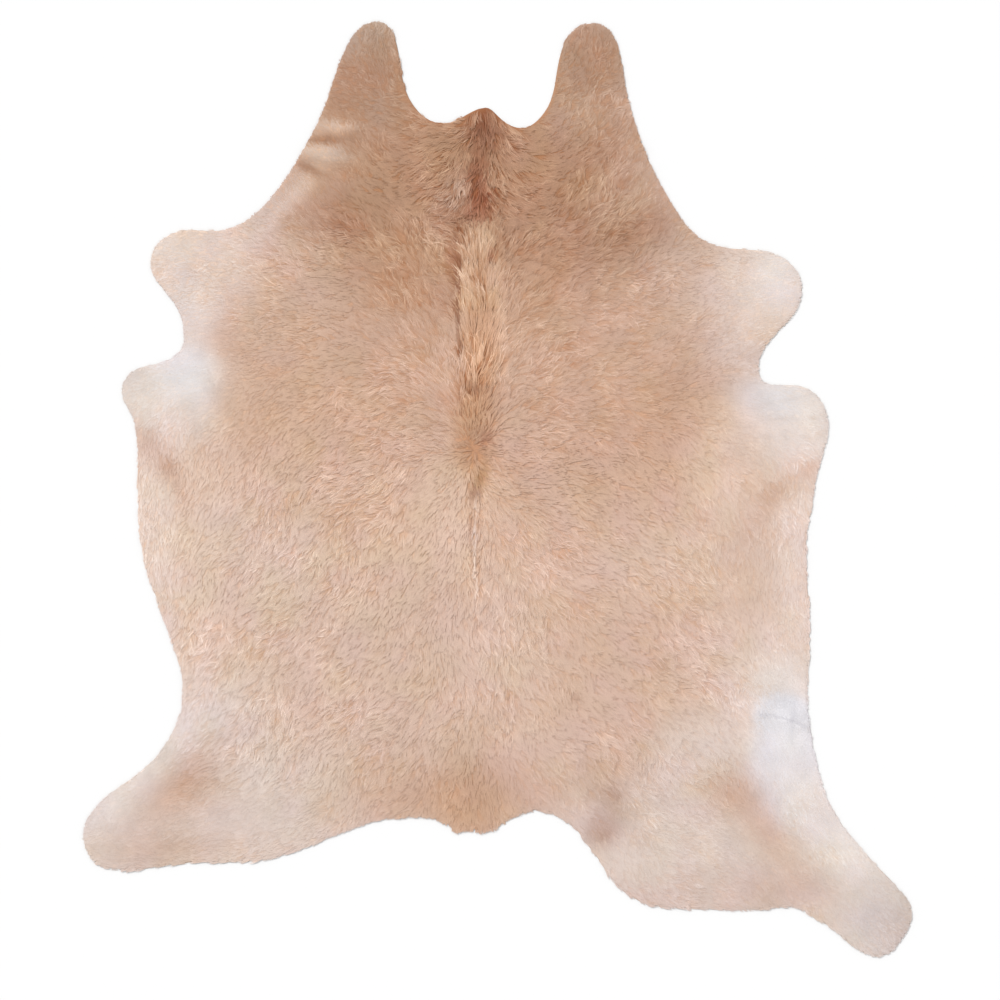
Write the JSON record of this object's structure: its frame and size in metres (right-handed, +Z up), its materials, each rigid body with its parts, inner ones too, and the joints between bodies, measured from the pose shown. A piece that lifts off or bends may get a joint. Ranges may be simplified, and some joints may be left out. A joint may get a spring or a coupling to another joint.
{
  "type": "cowhide rug",
  "caption": "Whole cowhide rug with its hair left on, lying flat: cheeks, forelegs, flanks, hind legs and tail root in the hide's natural uneven outline.",
  "frame": {"origin": "on the floor at the middle of the bounding box; the spine runs about 50 mm to the left of it", "axes": "+Y along the spine towards the neck, +X to the right as seen from above, +Z up out of the hair side"},
  "size_m": [1.86, 2.1, 0.0111],
  "materials": {
    "hide": "soft cream and tan hair, 15 to 35 mm long, lying nearly flat on pale tanned leather"
  },
  "bodies": {
    "root": {"hide": "hide"}
  },
  "joints": []
}
